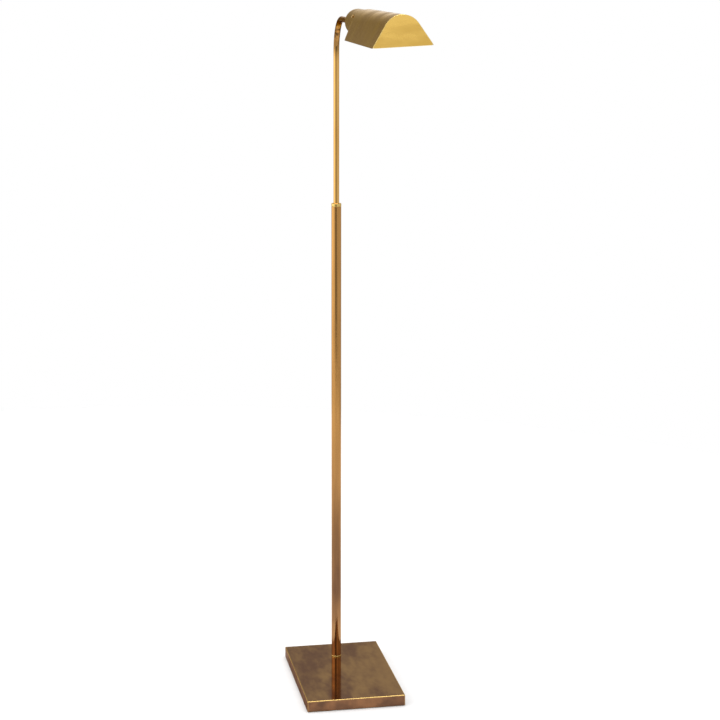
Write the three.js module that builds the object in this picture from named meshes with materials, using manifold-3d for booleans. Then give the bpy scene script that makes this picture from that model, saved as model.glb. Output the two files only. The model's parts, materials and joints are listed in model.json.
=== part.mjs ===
// Pharmacy floor lamp: a weighted rectangular base, a telescoping pole with a bent arm, and a
// tilting brass shade over a tubular bulb.
// Millimetres, +Z up. The origin is on the pole's axis at floor level, and the shade reaches
// out along -Y from the pole.

import * as THREE from 'three';
import { mergeVertices } from 'three/addons/utils/BufferGeometryUtils.js';
import Module from 'manifold-3d';

const manifold = await Module();
manifold.setup();

// ---------------------------------------------------------------- driving dimensions

const GAP = 0.3; // running gap between neighbouring pieces
const SIDES = 24; // flats on a turned piece
const QUARTER = Math.PI / 2;

const BASE_WIDTH = 165.1;
const BASE_DEPTH = 254;
const BASE_HEIGHT = 19;
const BASE_SKIRT = 0.8; // clearance of the cover's lower edge above the floor
const SHEET = 1.2; // brass sheet of the cover, the cup and the shade
const POLE_SETBACK = 69.8; // pole axis behind the middle of the base
const FELT_THICKNESS = 1.7;

const TUBE_RADIUS = 8.25;
const TUBE_BORE = 7.25;
const TUBE_MOUTH = 820; // height of the open top of the lower tube
const FOOT_RING_HEIGHT = 1.6;
const COLLAR_HEIGHT = 5;

const ROD_RADIUS = 4.8;
const ROD_BORE = 3.5;
const ROD_FOOT = 360; // lower end of the sliding rod
const BEND_RADIUS = 55;
const BEND_STEPS = 12;
const ARM_HEIGHT = 1124.5; // axis of the arm, the cup, the socket and the bulb
const ARM_END = 185; // front end of the rod, measured forward from the pole

const LEAD_RADIUS = 2.1;
const LEAD_FOOT = 7;

const CUP_RADIUS = 20.5;
const CUP_REAR = 192;
const DIMMER_AT = 220;
const SCREW_AT = 243;
const SCREW_ANGLE = THREE.MathUtils.degToRad(147);
const SOCKET_REAR = 236;
const SOCKET_FRONT = 296;
const SOCKET_RADIUS = 16.5;
const BULB_CAP_RADIUS = 13.1;
const BULB_RADIUS = 15;
const BULB_TIP = 440;

const SHADE_REAR = 281;
const SHADE_FRONT = 526;
const SHADE_HEIGHT = 44;
const SHADE_DROP = 21.6; // arm axis above the shade's lower edges
const REAR_PROFILE = { halfWidth: 38.3, height: SHADE_HEIGHT, radius: 28 };
const FRONT_PROFILE = { halfWidth: 43.35, height: SHADE_HEIGHT, radius: 27.7 };
const DOME_STEPS = 20;
const CORNER_RADIUS = 2.5;
const HEAD_ROLL = THREE.MathUtils.degToRad(2.9); // rest tilt of the head about the arm

// ---------------------------------------------------------------- finishes

const ANTIQUE_BRASS = { color: 0x84643c, roughness: 0.32, metalness: 1 };
const RUBBED_BRASS = { color: 0xa67a48, roughness: 0.26, metalness: 1 };
const BRIGHT_BRASS = { color: 0xd9a94c, roughness: 0.24, metalness: 1 };
const PLAIN_STEEL = { color: 0x9a9a98, roughness: 0.4, metalness: 1 };
const CAST_IRON = { color: 0x3a3a3c, roughness: 0.8, metalness: 0.6 };
const FELT = { color: 0x1d2a22, roughness: 1, metalness: 0 };
const NYLON = { color: 0xd9d4c4, roughness: 0.55, metalness: 0 };
const RUBBER = { color: 0x1a1a1a, roughness: 0.85, metalness: 0 };
const LEAD_SHEATH = { color: 0x3b2c1c, roughness: 0.7, metalness: 0 };
const FIBRE = { color: 0x4a3324, roughness: 0.9, metalness: 0 };
const PHENOLIC = { color: 0x17130f, roughness: 0.35, metalness: 0 };
const FROSTED_GLASS = { color: 0xf4f1e8, roughness: 0.35, metalness: 0 };

// ---------------------------------------------------------------- shape helpers

function toSolid(geometry) {
  const bare = geometry.index ? geometry.toNonIndexed() : geometry.clone();
  bare.deleteAttribute('normal');
  bare.deleteAttribute('uv');
  const merged = mergeVertices(bare);
  return new manifold.Manifold(new manifold.Mesh({
    numProp: 3,
    vertProperties: new Float32Array(merged.attributes.position.array),
    triVerts: new Uint32Array(merged.index.array),
  }));
}

function toGeometry(solid) {
  const mesh = solid.getMesh();
  const geometry = new THREE.BufferGeometry();
  geometry.setAttribute('position', new THREE.BufferAttribute(mesh.vertProperties, 3));
  geometry.setIndex(new THREE.BufferAttribute(mesh.triVerts, 1));
  geometry.computeVertexNormals();
  return geometry;
}

function cut(geometry, ...tools) {
  return toGeometry(tools.reduce((solid, tool) => solid.subtract(toSolid(tool)), toSolid(geometry)));
}

function join(first, ...others) {
  return toGeometry(others.reduce((solid, other) => solid.add(toSolid(other)), toSolid(first)));
}

// A turned solid about Z, from its half section as [radius, z] pairs.
function turned(section) {
  const points = section.map(([radius, z]) => new THREE.Vector2(radius, z));
  return new THREE.LatheGeometry(points, SIDES).rotateX(QUARTER);
}

function ring(inner, outer, low, high) {
  return turned([[inner, low], [outer, low], [outer, high], [inner, high], [inner, low]]);
}

function bar(radius, low, high) {
  return turned([[0, low], [radius, low], [radius, high], [0, high]]);
}

function block(width, depth, low, high) {
  return new THREE.BoxGeometry(width, depth, high - low).translate(0, 0, (low + high) / 2);
}

function hexNut(acrossFlats, bore, low, high) {
  const corner = acrossFlats / Math.sqrt(3);
  const outline = new THREE.Shape();
  for (let i = 0; i < 6; i += 1) {
    const angle = (i * Math.PI) / 3;
    outline[i ? 'lineTo' : 'moveTo'](corner * Math.cos(angle), corner * Math.sin(angle));
  }
  outline.closePath();
  outline.holes.push(new THREE.Path().absarc(0, 0, bore, 0, 2 * Math.PI, true));
  const options = { depth: high - low, bevelEnabled: false, curveSegments: SIDES / 2 };
  return new THREE.ExtrudeGeometry(outline, options).translate(0, 0, low);
}

// A path given by its stations, so that an extrusion has a step only where one is needed.
class StationPath extends THREE.Curve {
  constructor(stations) {
    super();
    this.stations = stations;
  }

  get steps() {
    return this.stations.length - 1;
  }

  getPointAt(u, target = new THREE.Vector3()) {
    return target.copy(this.stations[Math.round(u * this.steps)].point);
  }

  getTangentAt(u, target = new THREE.Vector3()) {
    return target.copy(this.stations[Math.round(u * this.steps)].tangent);
  }
}

// Up the pole from `foot`, round the bend, and forward along the arm to `end`.
function armPath(foot, end) {
  const bendStart = ARM_HEIGHT - BEND_RADIUS;
  const stations = [{ point: new THREE.Vector3(0, 0, foot), tangent: new THREE.Vector3(0, 0, 1) }];
  for (let i = 0; i <= BEND_STEPS; i += 1) {
    const turn = (i / BEND_STEPS) * QUARTER;
    stations.push({
      point: new THREE.Vector3(
        0,
        BEND_RADIUS * (Math.cos(turn) - 1),
        bendStart + BEND_RADIUS * Math.sin(turn),
      ),
      tangent: new THREE.Vector3(0, -Math.sin(turn), Math.cos(turn)),
    });
  }
  stations.push({ point: new THREE.Vector3(0, -end, ARM_HEIGHT), tangent: new THREE.Vector3(0, -1, 0) });
  return new StationPath(stations);
}

function swept(radius, bore, path, sides) {
  const section = new THREE.Shape().absarc(0, 0, radius, 0, 2 * Math.PI);
  if (bore > 0) section.holes.push(new THREE.Path().absarc(0, 0, bore, 0, 2 * Math.PI, true));
  const options = { steps: path.steps, extrudePath: path, curveSegments: sides / 2 };
  return new THREE.ExtrudeGeometry(section, options);
}

// An arch drawn from its right foot over the dome to its left foot: two straight skirts that
// run tangent into a round crown. `inset` moves the whole line inwards.
function arch({ halfWidth, height, radius }, inset = 0) {
  const centre = height - radius;
  const reach = Math.hypot(halfWidth, centre);
  const shoulder = Math.acos(radius / reach) - Math.atan2(centre, halfWidth);
  const foot = halfWidth - inset / Math.cos(shoulder);
  const points = [new THREE.Vector2(foot, -SHADE_DROP)];
  for (let i = 0; i <= DOME_STEPS; i += 1) {
    const angle = shoulder + (i / DOME_STEPS) * (Math.PI - 2 * shoulder);
    const x = (radius - inset) * Math.cos(angle);
    const y = centre + (radius - inset) * Math.sin(angle) - SHADE_DROP;
    points.push(new THREE.Vector2(x, y));
  }
  points.push(new THREE.Vector2(-foot, -SHADE_DROP));
  return points;
}

// The band between an arch and its inset copy.
function archBand(profile) {
  return [...arch(profile), ...arch(profile, SHEET).reverse()];
}

// A profile part of the way from the rear one to the front one.
function profileAt(along) {
  const share = (along - SHADE_REAR) / (SHADE_FRONT - SHADE_REAR);
  const mix = (key) => THREE.MathUtils.lerp(REAR_PROFILE[key], FRONT_PROFILE[key], share);
  return { halfWidth: mix('halfWidth'), height: SHADE_HEIGHT, radius: mix('radius') };
}

// A straight loft from the outline `rear` at `low` to the outline `front` at `high`.
function loft(rear, front, low, high) {
  const length = high - low;
  const options = { depth: length, steps: 1, bevelEnabled: false };
  const geometry = new THREE.ExtrudeGeometry(new THREE.Shape(rear), options);
  const places = geometry.attributes.position;
  const here = new THREE.Vector2();
  for (let v = 0; v < places.count; v += 1) {
    here.set(places.getX(v), places.getY(v));
    const gaps = rear.map((point) => point.distanceToSquared(here));
    const twin = gaps.indexOf(Math.min(...gaps));
    const moved = rear[twin].clone().lerp(front[twin], places.getZ(v) / length);
    places.setXY(v, moved.x, moved.y);
  }
  return geometry.translate(0, 0, low);
}

// An end plate of the shade, with its two lower corners rounded.
function endPlate(profile, bore, low, high) {
  const edge = arch(profile);
  const [right, left] = [edge[0], edge[edge.length - 1]];
  const slope = edge[1].clone().sub(right).normalize().multiplyScalar(CORNER_RADIUS);
  const outline = new THREE.Shape();
  outline.moveTo(left.x + CORNER_RADIUS, left.y);
  outline.lineTo(right.x - CORNER_RADIUS, right.y);
  outline.quadraticCurveTo(right.x, right.y, right.x + slope.x, right.y + slope.y);
  edge.slice(1, -1).forEach((point) => outline.lineTo(point.x, point.y));
  outline.lineTo(left.x - slope.x, left.y + slope.y);
  outline.quadraticCurveTo(left.x, left.y, left.x + CORNER_RADIUS, left.y);
  if (bore > 0) outline.holes.push(new THREE.Path().absarc(0, 0, bore, 0, 2 * Math.PI, true));
  const options = { depth: high - low, bevelEnabled: false, curveSegments: SIDES / 2 };
  return new THREE.ExtrudeGeometry(outline, options).translate(0, 0, low);
}

function piece(group, name, geometry, finish) {
  const mesh = new THREE.Mesh(geometry, new THREE.MeshStandardMaterial(finish));
  mesh.name = name;
  group.add(mesh);
  return mesh;
}

// ---------------------------------------------------------------- base

const lamp = new THREE.Group();

// The base pieces are drawn about the middle of the base, and the pole stands behind it.
const base = new THREE.Group();
base.position.y = -POLE_SETBACK;
lamp.add(base);

const INLET_HEIGHT = 7.3;
const INLET_RADIUS = 4.6;
const INLET_BORE = 2.8;
const INLET_DEPTH = 2; // how far the inlet bush reaches inside the wall
const INLET_PROUD = 1.8; // how far it stands out of the wall
const NIPPLE_RADIUS = 4.9;
const NIPPLE_BORE = 2.7;
const RECESS_RADIUS = 17;
const CHANNEL_WIDTH = 14;
const WEB_LOW = 13; // underside of the weight over the nut recess
const WEIGHT_LOW = FELT_THICKNESS + GAP;
const WEIGHT_HIGH = BASE_HEIGHT - SHEET - GAP;
const INNER_WIDTH = BASE_WIDTH - 2 * SHEET;
const INNER_DEPTH = BASE_DEPTH - 2 * SHEET;
const SIDE_GAP = 0.5;
const REAR_FACE = BASE_DEPTH / 2;

const poleHole = bar(NIPPLE_RADIUS + GAP, 0, BASE_HEIGHT + 1).translate(0, POLE_SETBACK, 0);
const inletHole = bar(INLET_RADIUS, -4 * SHEET, 4 * SHEET).rotateX(QUARTER)
  .translate(0, REAR_FACE, INLET_HEIGHT);
piece(base, 'base_cover', cut(
  block(BASE_WIDTH, BASE_DEPTH, BASE_SKIRT, BASE_HEIGHT),
  block(INNER_WIDTH, INNER_DEPTH, 0, BASE_HEIGHT - SHEET),
  poleHole,
  inletHole,
), ANTIQUE_BRASS);

// The slab's underside has a round recess for the nut and a channel for the cord to the inlet.
const channelLength = REAR_FACE - POLE_SETBACK;
piece(base, 'base_weight', cut(
  block(INNER_WIDTH - 2 * SIDE_GAP, INNER_DEPTH - 2 * SIDE_GAP, WEIGHT_LOW, WEIGHT_HIGH),
  poleHole,
  bar(RECESS_RADIUS, 0, WEB_LOW).translate(0, POLE_SETBACK, 0),
  block(CHANNEL_WIDTH, channelLength, 0, WEB_LOW).translate(0, POLE_SETBACK + channelLength / 2, 0),
), CAST_IRON);

piece(base, 'base_felt', block(
  INNER_WIDTH - 2 * SIDE_GAP,
  INNER_DEPTH - 2 * SIDE_GAP,
  0,
  FELT_THICKNESS,
), FELT);

// Rubber bush of the cord inlet: two flanges either side of the rear wall.
const grommet = piece(base, 'cord_grommet', turned([
  [INLET_BORE, -SHEET - INLET_DEPTH],
  [INLET_RADIUS + 0.5, -SHEET - INLET_DEPTH],
  [INLET_RADIUS + 0.5, -SHEET - GAP],
  [INLET_RADIUS - GAP, -SHEET - GAP],
  [INLET_RADIUS - GAP, GAP],
  [INLET_RADIUS + 0.9, GAP],
  [INLET_RADIUS + 0.4, INLET_PROUD],
  [INLET_BORE, INLET_PROUD],
  [INLET_BORE, -SHEET - INLET_DEPTH],
]), RUBBER);
grommet.rotation.x = -QUARTER;
grommet.position.set(0, REAR_FACE, INLET_HEIGHT);

// ---------------------------------------------------------------- pole

const stand = new THREE.Group();
lamp.add(stand);

const NUT_LOW = 6.9;
const NUT_HIGH = 10.9;
const NUT_FLATS = 17;
const NIPPLE_LOW = 6.5;
const NIPPLE_TOP = 45;
const LOCK_WASHER_RADIUS = 9.5;
const FOOT_RING_RADIUS = 8.5;
const PLUG_TOP = 44;
const nippleHole = NIPPLE_RADIUS + GAP;
const footLow = BASE_HEIGHT + GAP;
const tubeLow = footLow + FOOT_RING_HEIGHT + GAP;
const collarLow = TUBE_MOUTH - COLLAR_HEIGHT;

piece(stand, 'stem_nipple', ring(NIPPLE_BORE, NIPPLE_RADIUS, NIPPLE_LOW, NIPPLE_TOP), PLAIN_STEEL);
piece(stand, 'nipple_nut', hexNut(NUT_FLATS, nippleHole, NUT_LOW, NUT_HIGH), PLAIN_STEEL);
piece(stand, 'lock_washer', ring(nippleHole, LOCK_WASHER_RADIUS, NUT_HIGH + GAP, WEB_LOW - GAP), PLAIN_STEEL);
piece(stand, 'foot_ring', ring(nippleHole, FOOT_RING_RADIUS, footLow, tubeLow - GAP), BRIGHT_BRASS);
piece(stand, 'tube_foot_plug', ring(nippleHole, TUBE_BORE - GAP, tubeLow, PLUG_TOP), PLAIN_STEEL);
piece(stand, 'lower_tube', ring(TUBE_BORE, TUBE_RADIUS, tubeLow, collarLow - GAP), RUBBED_BRASS);

// The collar's bore is wider than the rod, and the nylon bush sits below its rim.
const COLLAR_RADIUS = 8.35;
const COLLAR_BORE = 6.9;
const COLLAR_CHAMFER = 0.6;
const BUSH_BORE = ROD_RADIUS + GAP;
const BUSH_TOP = TUBE_MOUTH - 2;
const BUSH_LOW = 790;
piece(stand, 'tube_collar', turned([
  [COLLAR_BORE, collarLow],
  [COLLAR_RADIUS, collarLow],
  [COLLAR_RADIUS, TUBE_MOUTH - COLLAR_CHAMFER],
  [COLLAR_RADIUS - COLLAR_CHAMFER, TUBE_MOUTH],
  [COLLAR_BORE, TUBE_MOUTH],
  [COLLAR_BORE, collarLow],
]), BRIGHT_BRASS);
piece(stand, 'collar_bush', ring(BUSH_BORE, COLLAR_BORE - GAP, BUSH_LOW, BUSH_TOP), NYLON);

// The lead hangs in the lower tube, and stretches or folds up as the rod slides.
const leadJoint = ROD_FOOT + 1;
piece(stand, 'lead_lower', bar(LEAD_RADIUS, LEAD_FOOT, leadJoint - GAP), LEAD_SHEATH);

// ---------------------------------------------------------------- sliding rod and its guide

const GLIDE_LOW = 366;
const GLIDE_HIGH = 392;
const CLIP_THICKNESS = 1.6;
const CLIP_RADIUS = 6.5;
const ROD_SIDES = 16;
const LEAD_SIDES = 8;
const LEAD_END = 206;

piece(lamp, 'glide_bush', ring(BUSH_BORE, COLLAR_BORE, GLIDE_LOW, GLIDE_HIGH), NYLON);

const arm = new THREE.Group();
lamp.add(arm);
piece(arm, 'arm_rod', swept(ROD_RADIUS, ROD_BORE, armPath(ROD_FOOT, ARM_END), ROD_SIDES), RUBBED_BRASS);
const clipFeet = { glide_clip_lower: GLIDE_LOW - GAP - CLIP_THICKNESS, glide_clip_upper: GLIDE_HIGH + GAP };
Object.entries(clipFeet).forEach(([name, low]) => {
  piece(arm, name, ring(BUSH_BORE, CLIP_RADIUS, low, low + CLIP_THICKNESS), PLAIN_STEEL);
});
piece(arm, 'lead_upper', swept(LEAD_RADIUS, 0, armPath(leadJoint, LEAD_END), LEAD_SIDES), LEAD_SHEATH);

// The friction swivel at the arm's front end. From here on a group's +Z points forward.
const armEnd = new THREE.Group();
armEnd.position.z = ARM_HEIGHT;
armEnd.rotation.x = QUARTER;
arm.add(armEnd);

const SWIVEL_RADIUS = 3.2;
const SWIVEL_NIPPLE = { rear: 173, front: 203 };
const SWIVEL_COLLAR = { rear: 178, radius: 8, chamfer: 2 };
const FRICTION_THICKNESS = 1;
const SPRING_RADIUS = 7.5;
const SWIVEL_NUT_FLATS = 13;
const CUP_WALL = 2; // thickness of the cup's rear wall
const swivelHole = SWIVEL_RADIUS + GAP;
const rodSocket = ROD_RADIUS + GAP;
const cupInside = CUP_REAR + CUP_WALL;
const springHigh = cupInside + 1.5;
const washerLow = CUP_REAR - GAP - FRICTION_THICKNESS;
piece(armEnd, 'swivel_nipple', ring(
  LEAD_RADIUS + GAP,
  SWIVEL_RADIUS,
  SWIVEL_NIPPLE.rear,
  SWIVEL_NIPPLE.front,
), PLAIN_STEEL);
piece(armEnd, 'swivel_collar', turned([
  [rodSocket, SWIVEL_COLLAR.rear],
  [6.6, SWIVEL_COLLAR.rear],
  [SWIVEL_COLLAR.radius, SWIVEL_COLLAR.rear + SWIVEL_COLLAR.chamfer],
  [SWIVEL_COLLAR.radius, washerLow - GAP],
  [swivelHole, washerLow - GAP],
  [swivelHole, ARM_END + GAP],
  [rodSocket, ARM_END + GAP],
  [rodSocket, SWIVEL_COLLAR.rear],
]), RUBBED_BRASS);
piece(armEnd, 'friction_washer', ring(
  swivelHole,
  SWIVEL_COLLAR.radius,
  washerLow,
  washerLow + FRICTION_THICKNESS,
), FIBRE);
piece(armEnd, 'spring_washer', ring(swivelHole, SPRING_RADIUS, cupInside + GAP, springHigh), PLAIN_STEEL);
piece(armEnd, 'swivel_nut', hexNut(
  SWIVEL_NUT_FLATS,
  swivelHole,
  springHigh + GAP,
  cupInside + 6,
), PLAIN_STEEL);

// ---------------------------------------------------------------- head

const head = new THREE.Group();
head.position.z = ARM_HEIGHT;
head.rotation.set(QUARTER, 0, HEAD_ROLL);
lamp.add(head);

// The dimmer's shaft points out of the cup's right side.
const NECK_RADIUS = 4.1;
const SHAFT_RADIUS = 3;
const NECK_END = 22.9;
const dimmer = new THREE.Group();
dimmer.position.z = DIMMER_AT;
dimmer.rotation.y = QUARTER;
head.add(dimmer);

const CUP_CHAMFER = 0.8;
const SCREW_HOLE_RADIUS = 1.8;
const cupFront = SHADE_REAR - GAP;
const cupBore = CUP_RADIUS - SHEET;
const screwHole = bar(SCREW_HOLE_RADIUS, cupBore - 3, CUP_RADIUS + 3).rotateY(QUARTER)
  .rotateZ(SCREW_ANGLE)
  .translate(0, 0, SCREW_AT);
piece(head, 'socket_cup', cut(
  turned([
    [swivelHole + GAP, CUP_REAR],
    [CUP_RADIUS - CUP_CHAMFER, CUP_REAR],
    [CUP_RADIUS, CUP_REAR + CUP_CHAMFER],
    [CUP_RADIUS, cupFront],
    [cupBore, cupFront],
    [cupBore, cupInside],
    [swivelHole + GAP, cupInside],
    [swivelHole + GAP, CUP_REAR],
  ]),
  bar(NECK_RADIUS + GAP, CUP_RADIUS / 2, 1.5 * CUP_RADIUS).rotateY(QUARTER).translate(0, 0, DIMMER_AT),
  screwHole,
), ANTIQUE_BRASS);

// The set screw bears on the socket body, and its pan head lies on the cup.
const SCREW = { thread: 1.5, head: 2.6, crown: 1.7, shoulder: CUP_RADIUS + 1.1, top: CUP_RADIUS + 1.8 };
const screw = piece(head, 'cup_set_screw', turned([
  [0, SOCKET_RADIUS + GAP],
  [SCREW.thread, SOCKET_RADIUS + GAP],
  [SCREW.thread, CUP_RADIUS + GAP],
  [SCREW.head, CUP_RADIUS + GAP],
  [SCREW.head, SCREW.shoulder],
  [SCREW.crown, SCREW.top],
  [0, SCREW.top],
]), BRIGHT_BRASS);
screw.position.z = SCREW_AT;
screw.rotation.set(0, QUARTER, SCREW_ANGLE, 'ZYX');

const DIMMER_HALF = 12;
const SHAFT_FLOOR = 8; // inner end of the shaft's bore in the dimmer body
const DIMMER_NUT_FLATS = 12;
const KNOB = { radius: 8, low: NECK_END + 0.4, floor: 31, high: 34, chamfer: 1, lip: 0.6 };
piece(dimmer, 'dimmer_body', cut(
  join(
    new THREE.BoxGeometry(2 * DIMMER_HALF, 2 * DIMMER_HALF, 2 * DIMMER_HALF),
    bar(NECK_RADIUS, DIMMER_HALF - 2, NECK_END),
  ),
  bar(SHAFT_RADIUS + GAP, SHAFT_FLOOR, NECK_END + 1),
), PHENOLIC);
piece(dimmer, 'dimmer_nut', hexNut(
  DIMMER_NUT_FLATS,
  NECK_RADIUS + GAP,
  CUP_RADIUS + 0.4,
  NECK_END - 0.4,
), BRIGHT_BRASS);
piece(dimmer, 'dimmer_shaft', bar(SHAFT_RADIUS, SHAFT_FLOOR + GAP, KNOB.floor - GAP), PLAIN_STEEL);
piece(dimmer, 'dimmer_knob', turned([
  [0, KNOB.floor],
  [SHAFT_RADIUS + GAP, KNOB.floor],
  [SHAFT_RADIUS + GAP, KNOB.low],
  [KNOB.radius - KNOB.lip, KNOB.low],
  [KNOB.radius, KNOB.low + KNOB.lip],
  [KNOB.radius, KNOB.high - KNOB.chamfer],
  [KNOB.radius - KNOB.chamfer, KNOB.high],
  [0, KNOB.high],
]), RUBBED_BRASS);

const SHELL_RADIUS = BULB_CAP_RADIUS + GAP;
const SHELL = { thickness: 0.5, rear: 262, front: 292 };
const SOCKET_FLOOR = 256;
const SOCKET_BORE = SHELL_RADIUS + 0.8;
const CONTACT_RADIUS = 3;
const RING_RADIUS = 20;
const RING_FRONT = 287;
piece(head, 'socket_body', turned([
  [0, SOCKET_REAR],
  [SOCKET_RADIUS - 1, SOCKET_REAR],
  [SOCKET_RADIUS, SOCKET_REAR + 1],
  [SOCKET_RADIUS, SOCKET_FRONT],
  [SOCKET_BORE, SOCKET_FRONT],
  [SOCKET_BORE, SOCKET_FLOOR],
  [0, SOCKET_FLOOR],
]), PHENOLIC);
piece(head, 'socket_shell', ring(
  SHELL_RADIUS,
  SHELL_RADIUS + SHELL.thickness,
  SHELL.rear,
  SHELL.front,
), BRIGHT_BRASS);
piece(head, 'socket_contact', bar(CONTACT_RADIUS, SOCKET_FLOOR + GAP, SOCKET_FLOOR + 1.4), BRIGHT_BRASS);
piece(head, 'shade_ring', ring(
  SOCKET_RADIUS + GAP,
  RING_RADIUS,
  SHADE_REAR + SHEET + GAP,
  RING_FRONT,
), RUBBED_BRASS);

const CAP_REAR = 257.7;
const CAP_FRONT = 283.3;
piece(head, 'bulb_cap', turned([
  [0, CAP_REAR],
  [4, CAP_REAR],
  [5, CAP_REAR + 2],
  [10, CAP_REAR + 4],
  [BULB_CAP_RADIUS, CAP_REAR + 6],
  [BULB_CAP_RADIUS, CAP_FRONT],
  [0, CAP_FRONT],
]), PLAIN_STEEL);

// Half section of the bulb, from the tip back to the neck, `inset` inside the outer face.
const GLASS_THICKNESS = 0.9;
const NECK = { radius: 12.2, swell: 12.6, swellAt: 294, shoulderAt: 303, barrelAt: 308 };
const TIP_STEPS = 6;
function bulbLine(inset) {
  const radius = BULB_RADIUS - inset;
  const line = [];
  for (let i = 0; i <= TIP_STEPS; i += 1) {
    const turn = (i / TIP_STEPS) * QUARTER;
    line.push([radius * Math.sin(turn), BULB_TIP - BULB_RADIUS + radius * Math.cos(turn)]);
  }
  line.push(
    [radius, NECK.barrelAt],
    [radius - 1, NECK.shoulderAt],
    [NECK.swell - inset, NECK.swellAt],
    [NECK.radius - inset, CAP_FRONT + GAP],
  );
  return line;
}
const glassSection = [...bulbLine(GLASS_THICKNESS), ...bulbLine(0).reverse()];
piece(head, 'bulb_glass', turned(glassSection), FROSTED_GLASS);

piece(head, 'shade_rear_plate', endPlate(
  REAR_PROFILE,
  SOCKET_RADIUS + GAP,
  SHADE_REAR,
  SHADE_REAR + SHEET,
), ANTIQUE_BRASS);
const skirtRear = SHADE_REAR + SHEET + GAP;
const skirtFront = SHADE_FRONT - SHEET - GAP;
piece(head, 'shade_body', loft(
  archBand(profileAt(skirtRear)),
  archBand(profileAt(skirtFront)),
  skirtRear,
  skirtFront,
), ANTIQUE_BRASS);
piece(head, 'shade_front_plate', endPlate(
  FRONT_PROFILE,
  0,
  SHADE_FRONT - SHEET,
  SHADE_FRONT,
), BRIGHT_BRASS);

export default lamp;
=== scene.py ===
"""Looks of the pharmacy floor lamp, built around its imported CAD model. Metres, +Z up.

The lamp's shade reaches out along -Y. Round pieces are turned from a half section, and the
base and the shade's end plates are stacked from inset copies of one outline.
"""
import json
import math

import bpy
from mathutils import Matrix, Vector


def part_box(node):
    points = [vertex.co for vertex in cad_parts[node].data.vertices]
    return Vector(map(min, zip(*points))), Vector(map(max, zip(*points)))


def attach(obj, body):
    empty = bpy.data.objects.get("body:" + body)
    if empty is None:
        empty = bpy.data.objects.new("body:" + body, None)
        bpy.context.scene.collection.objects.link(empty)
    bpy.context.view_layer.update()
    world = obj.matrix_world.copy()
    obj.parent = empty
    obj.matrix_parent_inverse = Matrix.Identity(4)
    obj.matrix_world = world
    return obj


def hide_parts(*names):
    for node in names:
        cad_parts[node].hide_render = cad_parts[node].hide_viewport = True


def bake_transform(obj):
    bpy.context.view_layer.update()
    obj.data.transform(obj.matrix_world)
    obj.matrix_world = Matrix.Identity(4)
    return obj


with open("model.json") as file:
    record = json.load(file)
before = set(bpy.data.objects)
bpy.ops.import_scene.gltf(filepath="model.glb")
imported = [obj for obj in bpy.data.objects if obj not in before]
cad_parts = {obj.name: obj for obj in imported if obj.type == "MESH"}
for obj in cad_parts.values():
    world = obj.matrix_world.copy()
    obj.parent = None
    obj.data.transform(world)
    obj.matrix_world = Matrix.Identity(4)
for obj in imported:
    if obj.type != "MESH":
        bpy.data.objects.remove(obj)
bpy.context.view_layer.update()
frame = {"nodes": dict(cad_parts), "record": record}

MM = 0.001
SIDES = 96  # flats round a turned piece
FLUTED_SIDES = 192  # flats round a knurled one
SMALL_SIDES = 48  # flats round the rod, the screw or the grommet
SHEET = 1.2 * MM  # brass sheet of the base cover, the cup and the shade

# ---------------------------------------------------------------- places taken from the frame

JOINTS = {joint["name"]: joint for joint in frame["record"]["behaviour"]["joints"]}
TILT = JOINTS["shade_tilt"]
FORWARD = Vector(TILT["axis"])
HEAD_RIGHT = Vector(JOINTS["dimmer_turn"]["axis"])
HEAD_UP = FORWARD.cross(HEAD_RIGHT)
ARM_HEIGHT = TILT["pos_m"][2]
DIMMER_AT = -JOINTS["dimmer_turn"]["pos_m"][1]


def axes(right, up, out, origin):
    """The matrix that takes x, y, z to right, up, out, from an origin."""
    turned_axes = Matrix((right, up, out)).transposed().to_4x4()
    return Matrix.Translation(origin) @ turned_axes


UPRIGHT = Matrix.Identity(4)
HEAD = axes(HEAD_RIGHT, HEAD_UP, FORWARD, Vector((0, 0, ARM_HEIGHT)))
ARM_END = axes(Vector((1, 0, 0)), Vector((0, 0, 1)), FORWARD, Vector((0, 0, ARM_HEIGHT)))
DIMMER = HEAD @ Matrix.Translation((0, 0, DIMMER_AT)) @ Matrix.Rotation(math.pi / 2, 4, "Y")


def span(node, axis):
    """A node's lowest and highest place along one axis of the frame."""
    low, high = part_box(node)
    return low[axis], high[axis]


def reach(node):
    """How far forward of the pole a node starts and ends."""
    low, high = span(node, 1)
    return -high, -low


def radius_of(node):
    """Half of a round node's width."""
    low, high = span(node, 0)
    return (high - low) / 2


# ---------------------------------------------------------------- mesh helpers

FILLET_STEPS = 4
WEAR_REACH = 1.5  # how far from a corner its wear fades out, in fillet radii
CREASE = math.radians(40)  # sharper edges than this are shaded sharp
ON_AXIS = 1e-9  # a radius up to this is a point on the axis


def fillet(corners):
    """A polyline of (a, b, radius, wear) corners with the corners rounded. Returns (a, b, wear)."""
    line = []
    for i, corner in enumerate(corners):
        here = Vector(corner[:2])
        radius = corner[2] if len(corner) > 2 else 0
        wear = corner[3] if len(corner) > 3 else 0
        if not radius or i in (0, len(corners) - 1):
            line.append((here.x, here.y, wear))
            continue
        back = Vector(corners[i - 1][:2]) - here
        ahead = Vector(corners[i + 1][:2]) - here
        fade = radius * WEAR_REACH
        if wear and back.length > 2 * fade:
            guard = here + back.normalized() * fade
            line.append((guard.x, guard.y, 0))
        start = here + back.normalized() * radius
        end = here + ahead.normalized() * radius
        for step in range(FILLET_STEPS + 1):
            t = step / FILLET_STEPS
            spot = start * (1 - t) ** 2 + here * 2 * t * (1 - t) + end * t ** 2
            line.append((spot.x, spot.y, wear))
        if wear and ahead.length > 2 * fade:
            guard = here + ahead.normalized() * fade
            line.append((guard.x, guard.y, 0))
    return line


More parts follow.
